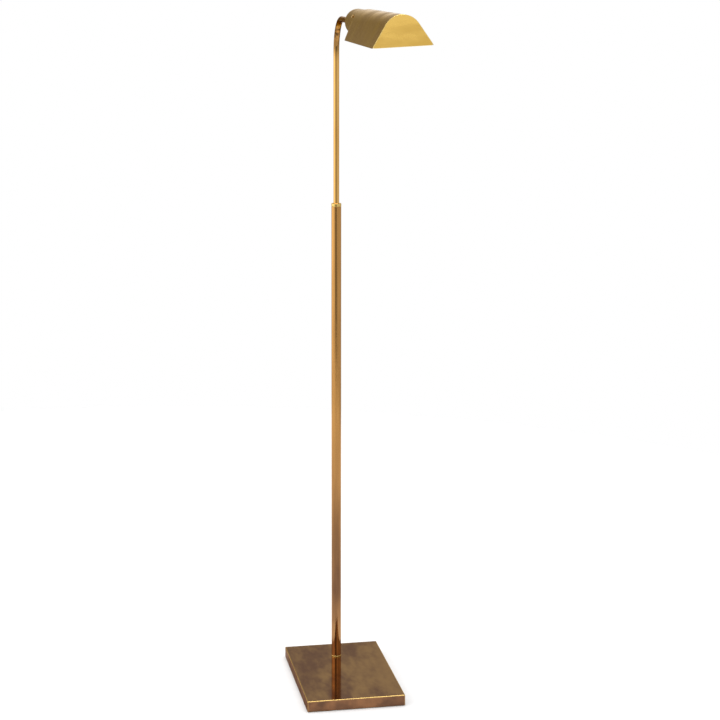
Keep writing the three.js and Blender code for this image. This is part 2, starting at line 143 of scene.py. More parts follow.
def add_piece(name, verts, faces, wear, material, body, nodes, place=UPRIGHT):
    """A smooth shaded piece that rides on a body and stands for CAD nodes.

    wear holds one number for each vertex: how far its brass is rubbed bright.
    """
    mesh = bpy.data.meshes.new(name)
    mesh.from_pydata([place @ Vector(v) for v in verts], [], faces)
    mesh.update()
    layer = mesh.attributes.new("wear", "FLOAT", "POINT")
    layer.data.foreach_set("value", wear)
    mesh.polygons.foreach_set("use_smooth", [True] * len(mesh.polygons))
    mesh.set_sharp_from_angle(angle=CREASE)
    mesh.materials.append(material)
    piece = bpy.data.objects.new(name, mesh)
    bpy.context.scene.collection.objects.link(piece)
    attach(piece, body)
    if nodes:
        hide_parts(*nodes)
    return piece


def turned(name, section, material, body, nodes, place=UPRIGHT, sides=SIDES, flutes=None):
    """A solid of revolution about the place's z, from (radius, z, fillet, wear) corners.

    The section runs so that its left side is inside the metal, as one open line from axis to
    axis, or as a closed loop when it doesn't touch the axis. Flutes are (count, depth, low, high).
    """
    line = fillet(section)
    closed = line[0][0] > ON_AXIS
    if closed:
        line = line[:-1]
    verts, wear, rings = [], [], []
    for radius, z, worn in line:
        if radius <= ON_AXIS:
            rings.append([len(verts)] * sides)
            verts.append((0, 0, z))
            wear.append(worn)
            continue
        rings.append(list(range(len(verts), len(verts) + sides)))
        for i in range(sides):
            angle = 2 * math.pi * i / sides
            local = radius
            if flutes and flutes[2] < z < flutes[3]:
                local -= flutes[1] * (0.5 - 0.5 * math.cos(flutes[0] * angle))
            verts.append((local * math.cos(angle), local * math.sin(angle), z))
            wear.append(worn)
    faces = []
    pairs = list(zip(rings, rings[1:] + rings[:1])) if closed else list(zip(rings, rings[1:]))
    for lower, upper in pairs:
        for i in range(sides):
            j = (i + 1) % sides
            loop = [lower[i], lower[j], upper[j], upper[i]]
            faces.append(list(dict.fromkeys(loop)))
    return add_piece(name, verts, faces, wear, material, body, nodes, place)


def ring_section(inner, outer, low, high, edge=0.3 * MM, wear=0.6):
    """A plain ring's section with its outer edges eased."""
    return [
        (inner, (low + high) / 2), (inner, low, edge / 2), (outer, low, edge, wear),
        (outer, high, edge, wear), (inner, high, edge / 2), (inner, (low + high) / 2),
    ]


def stacked(name, outline, section, material, body, nodes, place=UPRIGHT):
    """Inset copies of an outline joined into a closed solid.

    outline(inset) gives (x, y, wear) points, counterclockwise; the section's corners are
    (inset, z, fillet, wear), from the lower cap round to the upper one.
    """
    verts, wear, faces, rings = [], [], [], []
    for inset, z, worn in fillet(section):
        points = outline(inset)
        rings.append(list(range(len(verts), len(verts) + len(points))))
        verts.extend((x, y, z) for x, y, _ in points)
        wear.extend(max(worn, side) for _, _, side in points)
    count = len(rings[0])
    for lower, upper in zip(rings, rings[1:]):
        for i in range(count):
            j = (i + 1) % count
            faces.append([lower[i], lower[j], upper[j], upper[i]])
    faces.append(rings[0][::-1])
    faces.append(rings[-1])
    return add_piece(name, verts, faces, wear, material, body, nodes, place)


def swept(name, path, radii, material, body, nodes, sides=SMALL_SIDES):
    """A round tube, open bored, along (point, tangent) stations in the plane x = 0."""
    outer, bore = radii
    side = Vector((1, 0, 0))
    verts, faces, rings = [], [], []
    loops = [(outer, path), (bore, path[::-1])]
    for radius, stations in loops:
        for point, tangent in stations:
            up = side.cross(tangent)
            rings.append(list(range(len(verts), len(verts) + sides)))
            for i in range(sides):
                angle = 2 * math.pi * i / sides
                verts.append(point + radius * (side * math.cos(angle) - up * math.sin(angle)))
    for lower, upper in zip(rings, rings[1:] + rings[:1]):
        for i in range(sides):
            j = (i + 1) % sides
            faces.append([lower[i], lower[j], upper[j], upper[i]])
    return add_piece(name, verts, faces, [0.0] * len(verts), material, body, nodes)


# ---------------------------------------------------------------- materials

def new_material(name):
    material = bpy.data.materials.new(name)
    material.use_nodes = True
    tree = material.node_tree
    return material, tree, tree.nodes["Principled BSDF"]


def add_node(tree, kind, settings=None, **inputs):
    """A node with its settings and its inputs, which are values or other nodes' outputs."""
    node = tree.nodes.new(kind)
    for key, value in (settings or {}).items():
        setattr(node, key, value)
    for key, value in inputs.items():
        socket = node.inputs[int(key[1:]) if key[0] == "i" and key[1:].isdigit() else key]
        if isinstance(value, bpy.types.NodeSocket):
            tree.links.new(value, socket)
        else:
            socket.default_value = value
    return node


def noise(tree, scale, detail=3.0, stretch=(1, 1, 1), roughness=0.55):
    """Noise over the object's own metres; a small stretch factor draws it out along that axis."""
    place = add_node(tree, "ShaderNodeTexCoord").outputs["Object"]
    mapping = add_node(tree, "ShaderNodeMapping", Vector=place, Scale=stretch)
    texture = add_node(tree, "ShaderNodeTexNoise", Vector=mapping.outputs[0], Scale=scale,
                       Detail=detail, Roughness=roughness)
    return texture.outputs["Fac"]


def remap(tree, value, low, high, to_low=0.0, to_high=1.0):
    node = add_node(tree, "ShaderNodeMapRange", {"interpolation_type": "SMOOTHSTEP"}, Value=value)
    for key, number in (("From Min", low), ("From Max", high), ("To Min", to_low), ("To Max", to_high)):
        node.inputs[key].default_value = number
    return node.outputs["Result"]


def mix(tree, factor, first, second):
    node = add_node(tree, "ShaderNodeMix", {"data_type": "RGBA"})
    for index, value in ((0, factor), (6, first), (7, second)):
        if isinstance(value, bpy.types.NodeSocket):
            tree.links.new(value, node.inputs[index])
        else:
            node.inputs[index].default_value = value if index == 0 else (*value, 1)
    return node.outputs[2]


def calc(tree, operation, first, second):
    return add_node(tree, "ShaderNodeMath", {"operation": operation}, i0=first, i1=second).outputs[0]


GOLD_RUB = (0.90, 0.62, 0.20)
MOTTLE_FINENESS, BRUSH_FINENESS = 4.0, 22.0  # how much finer than the clouds they are
MOTTLE_SHARE = 0.25  # of the change from the dark tone to the light one
CHIP_SCALE = 30.0
CHIPPED = 0.65  # the wear left where patina clings to a rubbed edge
BRASS_RELIEF = 0.1 * MM


def brass(name, tones, rough, tint=(0.8, 0.7, 0.6), cloud=24.0, grain=(1, 1, 1), bump=0.05,
          brushing=0.12, worn=GOLD_RUB, change=None):
    """Brass under a hand-rubbed patina.

    tones are the (dark, light) that its clouds, mottling and brush marks move between, and
    brushing is the brush marks' share of that. grain draws them out along the axes with small
    factors. worn shows where an edge is rubbed, and change is (tones, full z, gone z) of other
    tones that take over along the height.
    """
    material, tree, shader = new_material(name)
    clouds = remap(tree, noise(tree, cloud, 3.0, grain), 0.34, 0.66)
    mottle = remap(tree, noise(tree, cloud * MOTTLE_FINENESS, 3.0, grain), 0.3, 0.7)
    brush = remap(tree, noise(tree, cloud * BRUSH_FINENESS, 2.0, grain), 0.3, 0.7)
    field = calc(tree, "MULTIPLY", clouds, 1 - MOTTLE_SHARE - brushing)
    field = calc(tree, "ADD", field, calc(tree, "MULTIPLY", mottle, MOTTLE_SHARE))
    field = calc(tree, "ADD", field, calc(tree, "MULTIPLY", brush, brushing))
    colour = mix(tree, field, *tones)
    if change:
        shades, full, gone = change
        place = add_node(tree, "ShaderNodeTexCoord").outputs["Object"]
        height = add_node(tree, "ShaderNodeSeparateXYZ", Vector=place).outputs["Z"]
        colour = mix(tree, remap(tree, height, full, gone), mix(tree, field, *shades), colour)
    mask = add_node(tree, "ShaderNodeAttribute", {"attribute_name": "wear"}).outputs["Fac"]
    chips = remap(tree, noise(tree, CHIP_SCALE, 3.0), 0.35, 0.65, CHIPPED, 1.0)
    mask = calc(tree, "MULTIPLY", mask, chips)
    tree.links.new(mix(tree, mask, colour, worn), shader.inputs["Base Color"])
    tree.links.new(remap(tree, field, 0.2, 0.8, rough[1], rough[0]), shader.inputs["Roughness"])
    relief = add_node(tree, "ShaderNodeBump", Height=brush, Strength=bump,
                      Distance=BRASS_RELIEF)
    tree.links.new(relief.outputs[0], shader.inputs["Normal"])
    shader.inputs["Metallic"].default_value = 1.0
    shader.inputs["Specular Tint"].default_value = (*tint, 1)
    return material


RELIEF_FINENESS = 9  # how much finer than the tones a plain material's relief is


def plain(name, tones, rough, metallic=0.0, scale=60.0, bump=0.15, distance=0.2 * MM, **sockets):
    """A material of two close tones with a fine relief; sockets are constants on the shader."""
    material, tree, shader = new_material(name)
    field = noise(tree, scale, 4.0)
    fine = noise(tree, scale * RELIEF_FINENESS, 3.0, roughness=0.6)
    shade = remap(tree, field, 0.3, 0.7)
    tree.links.new(mix(tree, shade, tones[0], tones[1]), shader.inputs["Base Color"])
    tree.links.new(remap(tree, fine, 0.25, 0.75, rough[0], rough[1]), shader.inputs["Roughness"])
    relief = add_node(tree, "ShaderNodeBump", Height=fine, Strength=bump, Distance=distance)
    tree.links.new(relief.outputs[0], shader.inputs["Normal"])
    shader.inputs["Metallic"].default_value = metallic
    for key, value in sockets.items():
        shader.inputs[key.replace("_", " ")].default_value = value
    return material


# Small factors draw the clouds out along an axis.
ALONG_Y, ALONG_Z = (1, 0.45, 1), (1, 1, 0.1)
ACROSS, ROUND_Y = (0.3, 1, 1), (0.4, 1, 0.4)

ANTIQUE = brass("antique_brass", ((0.30, 0.19, 0.12), (0.43, 0.285, 0.135)), (0.17, 0.26),
                tint=(0.70, 0.53, 0.27), cloud=26.0, grain=ROUND_Y, brushing=0.06)
PLINTH = brass("plinth_brass", ((0.27, 0.155, 0.11), (0.57, 0.355, 0.17)), (0.04, 0.09),
               tint=(0.75, 0.64, 0.55), cloud=20.0, grain=ALONG_Y, bump=0.004, brushing=0.03,
               worn=(0.74, 0.50, 0.17))
# The base's upright sides: the plinth's brass darkened, with a duller tint, as painted shade.
PAINTED_SHADE_FLANK = brass("plinth_side_painted_shade", ((0.13, 0.068, 0.042), (0.28, 0.135, 0.066)), (0.14, 0.24),
              tint=(0.40, 0.26, 0.18), cloud=20.0, bump=0.01, brushing=0.03,
              worn=(0.62, 0.40, 0.14))

# The tube darkens toward its foot as painted shade, standing for the dim floor that it mirrors, and the
# rod darkens at its bend. Heights are in metres.
FOOT_SHADE_TONES = ((0.13, 0.065, 0.038), (0.31, 0.16, 0.072))
FOOT_FULL, FOOT_GONE = 0.12, 0.55
TUBE = brass("tube_brass", ((0.50, 0.25, 0.075), (0.71, 0.37, 0.11)), (0.08, 0.17),
             tint=(1.0, 0.85, 0.7), cloud=26.0, grain=ALONG_Z, worn=(0.66, 0.345, 0.13),
             change=(FOOT_SHADE_TONES, FOOT_FULL, FOOT_GONE))
BEND_TONES = ((0.035, 0.017, 0.009), (0.56, 0.29, 0.085))
BEND_FULL, BEND_GONE = 1.09, 1.05
ROD = brass("rod_brass", ((0.76, 0.40, 0.11), (0.94, 0.57, 0.18)), (0.05, 0.1),
            tint=(1.0, 0.82, 0.58), cloud=30.0, grain=ALONG_Z,
            change=(BEND_TONES, BEND_FULL, BEND_GONE))
BEND = brass("bend_brass", BEND_TONES, (0.1, 0.22), tint=(0.45, 0.30, 0.16), cloud=60.0)

BRIGHT = brass("bright_brass", ((0.78, 0.50, 0.14), (0.92, 0.65, 0.21)), (0.12, 0.2),
               worn=(0.92, 0.66, 0.22))
# The shade's front plate: the shade's own brass painted much lighter, as painted light from the front.
PAINTED_LIGHT_PLATE = brass("plate_brass", ((0.85, 0.535, 0.118), (0.93, 0.61, 0.155)), (0.24, 0.34),
              tint=(0.95, 0.85, 0.6), cloud=24.0, grain=ACROSS, bump=0.02, brushing=0.06,
              worn=(0.96, 0.72, 0.26))

REFLECTOR = plain("reflector_paint", ((0.78, 0.77, 0.73), (0.84, 0.83, 0.79)), (0.3, 0.42))
STEEL = plain("zinc_steel", ((0.42, 0.42, 0.41), (0.58, 0.58, 0.56)), (0.28, 0.42), 1.0, 80.0)
IRON = plain("cast_iron", ((0.03, 0.03, 0.032), (0.07, 0.07, 0.075)), (0.6, 0.85), 0.4, 90.0, 0.6,
             0.6 * MM)
FELT = plain("felt", ((0.012, 0.022, 0.016), (0.028, 0.045, 0.033)), (0.9, 1.0), 0.0, 140.0, 0.9,
             0.8 * MM, Sheen_Weight=0.6, Sheen_Roughness=0.5)
RUBBER = plain("rubber", ((0.010, 0.010, 0.010), (0.02, 0.02, 0.02)), (0.55, 0.75))
NYLON = plain("nylon", ((0.50, 0.47, 0.39), (0.60, 0.57, 0.49)), (0.4, 0.55))
SHEATH = plain("lead_sheath", ((0.045, 0.028, 0.015), (0.07, 0.042, 0.022)), (0.5, 0.65))
FIBRE = plain("fibre", ((0.08, 0.04, 0.022), (0.14, 0.075, 0.045)), (0.7, 0.9), 0.0, 160.0, 0.4)
PHENOLIC = plain("phenolic", ((0.010, 0.008, 0.006), (0.018, 0.014, 0.011)), (0.2, 0.34))
GLASS = plain("bulb_glass", ((0.86, 0.85, 0.80), (0.92, 0.91, 0.87)), (0.28, 0.4), 0.0, 40.0, 0.05,
              Subsurface_Weight=0.2, Coat_Weight=0.4, Coat_Roughness=0.15)

# ---------------------------------------------------------------- base

CORNER = 1.0 * MM  # radius of the cover's arrises
CORNER_STEPS = 5
CORNER_REACH = 2.2  # how far along a side a corner's wear fades out, in its radii
# The top rim's wear is also a painted highlight along the arris.
CORNER_WEAR, RIM_WEAR_AND_HIGHLIGHT, FOOT_WEAR = 0.3, 1.0, 0.25
FELT_CORNER = 3 * MM
CAP_INSET = 20 * MM  # how far in a stacked piece's caps start
COVER_CAP_INSET = 25 * MM  # the cover's upper cap


def base_outline(half_x, half_y, centre_y, corner):
    """The base's rectangle with eased corners; a little wear runs down its outer corners."""
    def outline(inset):
        a, b = half_x - inset, half_y - inset
        edge = max(corner - inset, corner / 4)
        fade = corner * CORNER_REACH
        wear = CORNER_WEAR if inset < corner else 0.0
        points = []
        for quarter, (sx, sy) in enumerate(((1, -1), (1, 1), (-1, 1), (-1, -1))):
            start = (quarter - 1) * math.pi / 2
            along_x, along_y = (a - fade, b), (a, b - fade)
            before, after = (along_y, along_x) if quarter % 2 else (along_x, along_y)
            points.append((sx * before[0], sy * before[1], 0.0))
            for step in range(CORNER_STEPS + 1):
                angle = start + step / CORNER_STEPS * math.pi / 2
                x = sx * (a - edge) + edge * math.cos(angle)
                y = sy * (b - edge) + edge * math.sin(angle)
                points.append((x, y, wear))
            points.append((sx * after[0], sy * after[1], 0.0))
        return [(x, y + centre_y, w) for x, y, w in points]
    return outline


def build_base():
    """The folded cover with its upright sides in a darker brass as painted shade, the felt under it and
    the cord's inlet.
    """
    low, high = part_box("base_cover")
    half_x, half_y = (high[0] - low[0]) / 2, (high[1] - low[1]) / 2
    centre_y = (high[1] + low[1]) / 2
    ceiling = high[2] - SHEET
    cover = stacked("base_cover_skin", base_outline(half_x, half_y, centre_y, CORNER), [
        (SHEET + CAP_INSET, ceiling), (SHEET, ceiling), (SHEET, low[2], 0.3 * MM),
        (0, low[2], 0.4 * MM, FOOT_WEAR), (0, high[2], CORNER, RIM_WEAR_AND_HIGHLIGHT),
        (COVER_CAP_INSET, high[2]),
    ], PLINTH, "stand", ["base_cover"])
    # the upright sides take the darker brass of painted shade
    cover.data.materials.append(PAINTED_SHADE_FLANK)
    for polygon in cover.data.polygons:
        is_upright = abs(polygon.normal.z) < 0.5
        polygon.material_index = int(is_upright)
    felt_low, felt_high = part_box("base_felt")
    felt_x, felt_y = (felt_high[0] - felt_low[0]) / 2, (felt_high[1] - felt_low[1]) / 2
    stacked("base_felt_pad", base_outline(felt_x, felt_y, centre_y, FELT_CORNER), [
        (CAP_INSET, felt_low[2]), (0, felt_low[2], 0.5 * MM), (0, felt_high[2], 0.4 * MM),
        (CAP_INSET, felt_high[2]),
    ], FELT, "stand", ["base_felt"])
    inlet_low, inlet_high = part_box("cord_grommet")
    rear = high[1]
    inlet = axes(Vector((1, 0, 0)), Vector((0, 0, -1)), Vector((0, 1, 0)),
                 Vector((0, rear, (inlet_low[2] + inlet_high[2]) / 2)))
    bore, lip = 2.8 * MM, radius_of("cord_grommet")
    groove, flange = lip - 1.2 * MM, lip - 0.4 * MM
    outside, wall, inside = inlet_high[1] - rear, -1.5 * MM, -3.2 * MM
    turned("cord_grommet_bush", [
        (bore, 0), (bore, inside, 0.3 * MM), (flange, inside, 0.4 * MM), (flange, wall, 0.2 * MM),
        (groove, wall), (groove, 0.3 * MM), (lip, 0.3 * MM, 0.2 * MM),
        (lip - 0.5 * MM, outside, 0.8 * MM), (bore, outside, 0.6 * MM), (bore, 0),
    ], RUBBER, "stand", ["cord_grommet"], inlet, SMALL_SIDES)


# ---------------------------------------------------------------- pole and arm

TUBE_WALL = 1 * MM
FOOT_RUB_AND_HIGHLIGHT = 40 * MM  # height of the tube's foot that is rubbed bright, partly as a painted highlight
FOOT_RUB_AND_HIGHLIGHT_END = 120 * MM  # height where that has faded out
RING_BORE = 5.2 * MM
MOUTH_BORE = 6.9 * MM
ROD_CLEARANCE = 5.1 * MM  # bore of what the rod runs in
LEAD_STEPS, LEAD_SIDES = 40, 24


def build_pole():
    low, high = span("lower_tube", 2)
    radius = radius_of("lower_tube")
    bore = radius - TUBE_WALL
    middle, edge = (low + high) / 2, 0.3 * MM
    # its foot is rubbed bright, partly as a painted highlight, over the painted shade of the foot tones
    turned("lower_tube_skin", [
        (bore, middle), (bore, low), (radius, low, 0, 0.7), (radius, low + FOOT_RUB_AND_HIGHLIGHT, 0, 0.5),
        (radius, low + FOOT_RUB_AND_HIGHLIGHT_END), (radius, high, edge, 0.4), (bore, high, edge / 2),
        (bore, middle),
    ], TUBE, "stand", ["lower_tube"])
    ring_low, ring_high = span("foot_ring", 2)
    ring = ring_section(RING_BORE, radius_of("foot_ring"), ring_low, ring_high, 0.6 * MM, 1.0)
    turned("foot_ring_turned", ring, BRIGHT, "stand", ["foot_ring"])
    collar_low, collar_high = span("tube_collar", 2)
    collar = radius_of("tube_collar")
    seam = collar_low + 2 * MM
    turned("tube_collar_turned", [
        (MOUTH_BORE, seam), (MOUTH_BORE, collar_low), (collar, collar_low, 0.3 * MM, 0.6),
        (collar, collar_high, 0.7 * MM, 1.0), (MOUTH_BORE, collar_high, 0.4 * MM, 1.0),
        (MOUTH_BORE, seam),
    ], BRIGHT, "stand", ["tube_collar"])
    bush_low, bush_high = span("collar_bush", 2)
    bush = ring_section(ROD_CLEARANCE, radius_of("collar_bush"), bush_low, bush_high)
    turned("collar_bush_turned", bush, NYLON, "stand", ["collar_bush"])


def build_lead():
    """The lead in the lower tube. Its top rides with the rod, so the rest draws out or closes up."""
    low, high = span("lead_lower", 2)
    radius = radius_of("lead_lower")
    side = []
    for step in range(LEAD_STEPS + 1):
        side.append((radius, low + (high - low) * step / LEAD_STEPS))
    lead = turned("lead_lower_cable", [(0, low), *side, (0, high)], SHEATH, "stand", ["lead_lower"],
                  sides=LEAD_SIDES)
    lead.parent = None  # a blended piece has no parent
    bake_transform(lead)


BEND_RADIUS = 55 * MM
BEND_STEPS = 32
BEND_FROM = 1.092  # the height, in metres, above which the rod has its bend's finish
ROD_BORE = 3.5 * MM


def arm_stations():
    """Up from the rod's foot, round the bend and forward to the swivel."""
    foot = span("arm_rod", 2)[0]
    end = reach("arm_rod")[1]
    stations = [(Vector((0, 0, foot)), Vector((0, 0, 1)))]
    for step in range(BEND_STEPS + 1):
        turn = step / BEND_STEPS * math.pi / 2
        y = BEND_RADIUS * (math.cos(turn) - 1)
        z = ARM_HEIGHT + BEND_RADIUS * (math.sin(turn) - 1)
        stations.append((Vector((0, y, z)), Vector((0, -math.sin(turn), math.cos(turn)))))
    stations.append((Vector((0, -end, ARM_HEIGHT)), Vector((0, -1, 0))))
    return stations


def build_arm():
    arm = swept("arm_rod_bent", arm_stations(), (radius_of("arm_rod"), ROD_BORE), ROD, "arm",
                ["arm_rod"])
    arm.data.materials.append(BEND)
    for polygon in arm.data.polygons:
        polygon.material_index = int(polygon.center.z > BEND_FROM)
    rear, front = reach("swivel_collar")
    outer = radius_of("swivel_collar")
    shoulder, floor = rear + 2 * MM, front - 4 * MM
    knurl = (32, 0.35 * MM, rear + 3 * MM, front - 1.2 * MM)
    turned("swivel_collar_turned", [
        (ROD_CLEARANCE, shoulder), (ROD_CLEARANCE, rear, 0.2 * MM),
        (outer - 1.6 * MM, rear, 0.5 * MM, 0.8), (outer, shoulder, 0.6 * MM, 0.8),
        (outer, front, 0.5 * MM, 0.9), (ROD_BORE, front), (ROD_BORE, floor), (ROD_CLEARANCE, floor),
        (ROD_CLEARANCE, shoulder),
    ], ROD, "arm", ["swivel_collar"], ARM_END, FLUTED_SIDES, knurl)


# ---------------------------------------------------------------- head

SHADE_HEIGHT = 44 * MM
SHADE_DROP = 21.6 * MM  # from the head's axis down to the shade's lower edges
REAR_PROFILE = (38.3 * MM, 28 * MM)  # half width at the feet, crown radius
FRONT_PROFILE = (43.35 * MM, 27.7 * MM)
DOME_STEPS = 48
PLATE_CORNER = 4 * MM
PLATE_CORNER_STEPS = 6
PLATE_LIP = 0.6 * MM
PLATE_CAP = 9 * MM  # how far in a plate's caps start
SKIN_CORNER = 2.6 * MM  # radius of the skin's lower corners, seen from its side
SKIN_STEPS = (0, 0.3 * MM, 0.8 * MM, 1.6 * MM, 2.6 * MM)
SKIN_SPANS = 10  # lengths that the skin is divided into between its ends
SKIN_WEAR = 0.8
SKIN_WEAR_LENGTH = 1.2 * MM  # of its rear edge
SKIRT = (0.0, 0.03, 0.08, 0.35, 0.65, 1.0)  # where the points along a skirt lie, from its foot


def arch(profile, inset=0.0, skirt=(0.0, 1.0), lift=0.0):
    """An arch from its right foot over the crown to its left foot, as (x, y) points.

    profile is (half width at the feet, crown radius); the skirts run tangent into the crown.
    skirt lists where along a skirt its points lie, from the foot, which lift raises.
    """
    half, radius = profile
    centre = SHADE_HEIGHT - radius
    shoulder = math.acos(radius / math.hypot(half, centre)) - math.atan2(centre, half)
    foot = Vector((half - inset / math.cos(shoulder), 0))
    crown = radius - inset
    join = Vector((crown * math.cos(shoulder), centre + crown * math.sin(shoulder)))
    foot = foot.lerp(join, lift / (join - foot).length)
    right = [foot.lerp(join, share) for share in skirt[:-1]]
    dome = []
    for step in range(DOME_STEPS + 1):
        angle = shoulder + step / DOME_STEPS * (math.pi - 2 * shoulder)
        dome.append(Vector((crown * math.cos(angle), centre + crown * math.sin(angle))))
    left = [Vector((-point.x, point.y)) for point in reversed(right)]
    return [(point.x, point.y - SHADE_DROP) for point in right + dome + left]


def profile_at(along, start, end):
    """The shade's profile some way along it, from its rear end to its front end."""
    share = (along - start) / (end - start)
    return tuple(a + (b - a) * share for a, b in zip(REAR_PROFILE, FRONT_PROFILE))


def plate_outline(profile):
    """A shade end's outline, counterclockwise, with its two lower corners rounded."""
    def outline(inset):
        edge = [Vector(point) for point in arch(profile, inset)]
        floor = edge[0].y + inset
        slope = (edge[1] - edge[0]).normalized()
        right = edge[0] + slope * (inset / slope.y)
        left = Vector((-right.x, right.y))
        size = max(PLATE_CORNER - inset / 2, PLATE_CORNER / 3)
        points = []
        for corner, leave, enter in (
            (left, left + Vector((-slope.x, slope.y)) * size, Vector((left.x + size, floor))),
            (right, Vector((right.x - size, floor)), right + slope * size),
        ):
            for step in range(PLATE_CORNER_STEPS + 1):
                t = step / PLATE_CORNER_STEPS
                spot = leave * (1 - t) ** 2 + corner * 2 * t * (1 - t) + enter * t ** 2
                points.append((spot.x, spot.y, 0.0))
        points.extend((point.x, point.y, 0.0) for point in edge[1:-1])
        return points
    return outline


def skin_stations(start, end):
    """Where the skin's cross-sections are, close together at its two ends."""
    stations = [start + step for step in SKIN_STEPS]
    for step in range(1, SKIN_SPANS):
        stations.append(start + (end - start) * step / SKIN_SPANS)
    stations += [end - step for step in reversed(SKIN_STEPS)]
    return stations


def build_skin(start, end):
    """The shade's sheet skin, with an outer and an inner side, between the two ends of the shade."""
    skin_start, skin_end = reach("shade_body")
    stations = skin_stations(skin_start, skin_end)
    verts, faces, wear, grids = [], [], [], []
    for inset in (0.0, SHEET):
        grid = []
        for along in stations:
            near = min(along - skin_start, skin_end - along, SKIN_CORNER)
            lift = SKIN_CORNER - math.sqrt(SKIN_CORNER ** 2 - (SKIN_CORNER - near) ** 2)
            points = arch(profile_at(along, start, end), inset, skirt=SKIRT, lift=lift)
            grid.append(list(range(len(verts), len(verts) + len(points))))
            worn = inset == 0.0 and along < skin_start + SKIN_WEAR_LENGTH
            for x, y in points:
                verts.append((x, y, along))
                wear.append(SKIN_WEAR if worn else 0.0)
        grids.append(grid)
    outer, inner = grids
    last = len(outer[0]) - 1
    for k in range(len(stations) - 1):
        for i in range(last):
            faces.append([outer[k][i], outer[k][i + 1], outer[k + 1][i + 1], outer[k + 1][i]])
            faces.append([inner[k + 1][i], inner[k + 1][i + 1], inner[k][i + 1], inner[k][i]])
        for i, flip in ((0, -1), (last, 1)):
            faces.append([outer[k][i], outer[k + 1][i], inner[k + 1][i], inner[k][i]][::flip])
    for k, flip in ((0, 1), (len(stations) - 1, -1)):
        for i in range(last):
            faces.append([outer[k][i], inner[k][i], inner[k][i + 1], outer[k][i + 1]][::flip])
    skin = add_piece("shade_skin", verts, faces, wear, ANTIQUE, "head", ["shade_body"], HEAD)
    skin.data.materials.append(REFLECTOR)
    inner_verts = {v for row in inner for v in row}
    for polygon in skin.data.polygons:
        if all(v in inner_verts for v in polygon.vertices):
            polygon.material_index = 1


def build_shade():
    rear, skin_side = reach("shade_rear_plate")
    front_side, front = reach("shade_front_plate")
    build_skin(rear, front)
    soft = PLATE_LIP / 3
    # the front plate takes the lighter brass of painted light; the rear plate keeps the shade's own
    # brass
    stacked("shade_front_face", plate_outline(FRONT_PROFILE), [
        (PLATE_CAP, front_side), (0, front_side, soft), (0, front, PLATE_LIP, 1.0), (PLATE_CAP, front),
    ], PAINTED_LIGHT_PLATE, "head", ["shade_front_plate"], HEAD)
    stacked("shade_rear_face", plate_outline(REAR_PROFILE), [
        (PLATE_CAP, rear), (0, rear, PLATE_LIP, 0.9), (0, skin_side, soft), (PLATE_CAP, skin_side),
    ], ANTIQUE, "head", ["shade_rear_plate"], HEAD)


CUP_FLOOR = 2 * MM
CUP_HOLE = 3.8 * MM
SCREW_RADIUS = 1.5 * MM
SCREW_DEPTH = 3.7 * MM  # from the cup's outside in to the screw's tip
PAN_RADIUS, PAN_HEIGHT = 2.6 * MM, 1.5 * MM
PAN_LIFT = 0.3 * MM  # from the cup's outside out to the screw's pan head
SLOT_WIDTH, SLOT_DEPTH = 0.6 * MM, 0.6 * MM


def build_cup():
    """The spun cup and the set screw in its wall."""
    rear, front = reach("socket_cup")
    radius = radius_of("socket_cup")
    bore, seam = radius - SHEET, rear + CUP_FLOOR / 2
    turned("socket_cup_spun", [
        (CUP_HOLE, seam), (CUP_HOLE, rear, 0.2 * MM), (radius, rear, 1.2 * MM, 0.8),
        (radius, front, 0.3 * MM, 0.6), (bore, front), (bore, rear + CUP_FLOOR),
        (CUP_HOLE, rear + CUP_FLOOR), (CUP_HOLE, seam),
    ], ANTIQUE, "head", ["socket_cup"], HEAD)
    low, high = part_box("cup_set_screw")
    centre = HEAD.inverted() @ ((low + high) / 2)
    out = (HEAD.to_3x3() @ Vector((centre.x, centre.y, 0))).normalized()
    place = axes(out.cross(FORWARD), FORWARD, out, HEAD @ Vector((0, 0, centre.z)))
    tip, pan_low = radius - SCREW_DEPTH, radius + PAN_LIFT
    pan_high = pan_low + PAN_HEIGHT
    screw = turned("cup_set_screw_turned", [
        (0, tip), (SCREW_RADIUS, tip), (SCREW_RADIUS, pan_low), (PAN_RADIUS, pan_low, 0.1 * MM),
        (PAN_RADIUS, pan_low + 0.8 * MM, 0.5 * MM, 0.4), (1.4 * MM, pan_high, 0.5 * MM), (0, pan_high),
    ], ANTIQUE, "head", ["cup_set_screw"], place, SMALL_SIDES)
    cut_slot(screw, place, pan_high - SLOT_DEPTH)


def cut_slot(piece, place, floor):
    """Cuts a screwdriver slot across a screw's pan head, down to a floor on the place's z."""
    half_length, half_width, top = 6 * MM, SLOT_WIDTH / 2, floor + 5 * MM
    corners = []
    for z in (floor, top):
        for x, y in ((-1, -1), (1, -1), (1, 1), (-1, 1)):
            corners.append(place @ Vector((x * half_width, y * half_length, z)))
    mesh = bpy.data.meshes.new("slot_cutter")
    mesh.from_pydata(corners, [], [
        (3, 2, 1, 0), (4, 5, 6, 7), (0, 1, 5, 4), (1, 2, 6, 5), (2, 3, 7, 6), (3, 0, 4, 7)])
    cutter = bpy.data.objects.new("slot_cutter", mesh)
    bpy.context.scene.collection.objects.link(cutter)
    cut = piece.modifiers.new("slot", "BOOLEAN")
    cut.operation = "DIFFERENCE"
    cut.solver = "EXACT"
    cut.object = cutter
    depsgraph = bpy.context.evaluated_depsgraph_get()
    result = bpy.data.meshes.new_from_object(piece.evaluated_get(depsgraph))
    piece.modifiers.clear()
    piece.data = result
    bpy.data.objects.remove(cutter)


KNOB_FROM, KNOB_TO = 23.3 * MM, 34 * MM  # out from the head's axis
KNOB_RADIUS = 8 * MM
KNOB_BORE = 3.3 * MM
KNOB_FACE = 3 * MM  # thickness of the knob over its bore


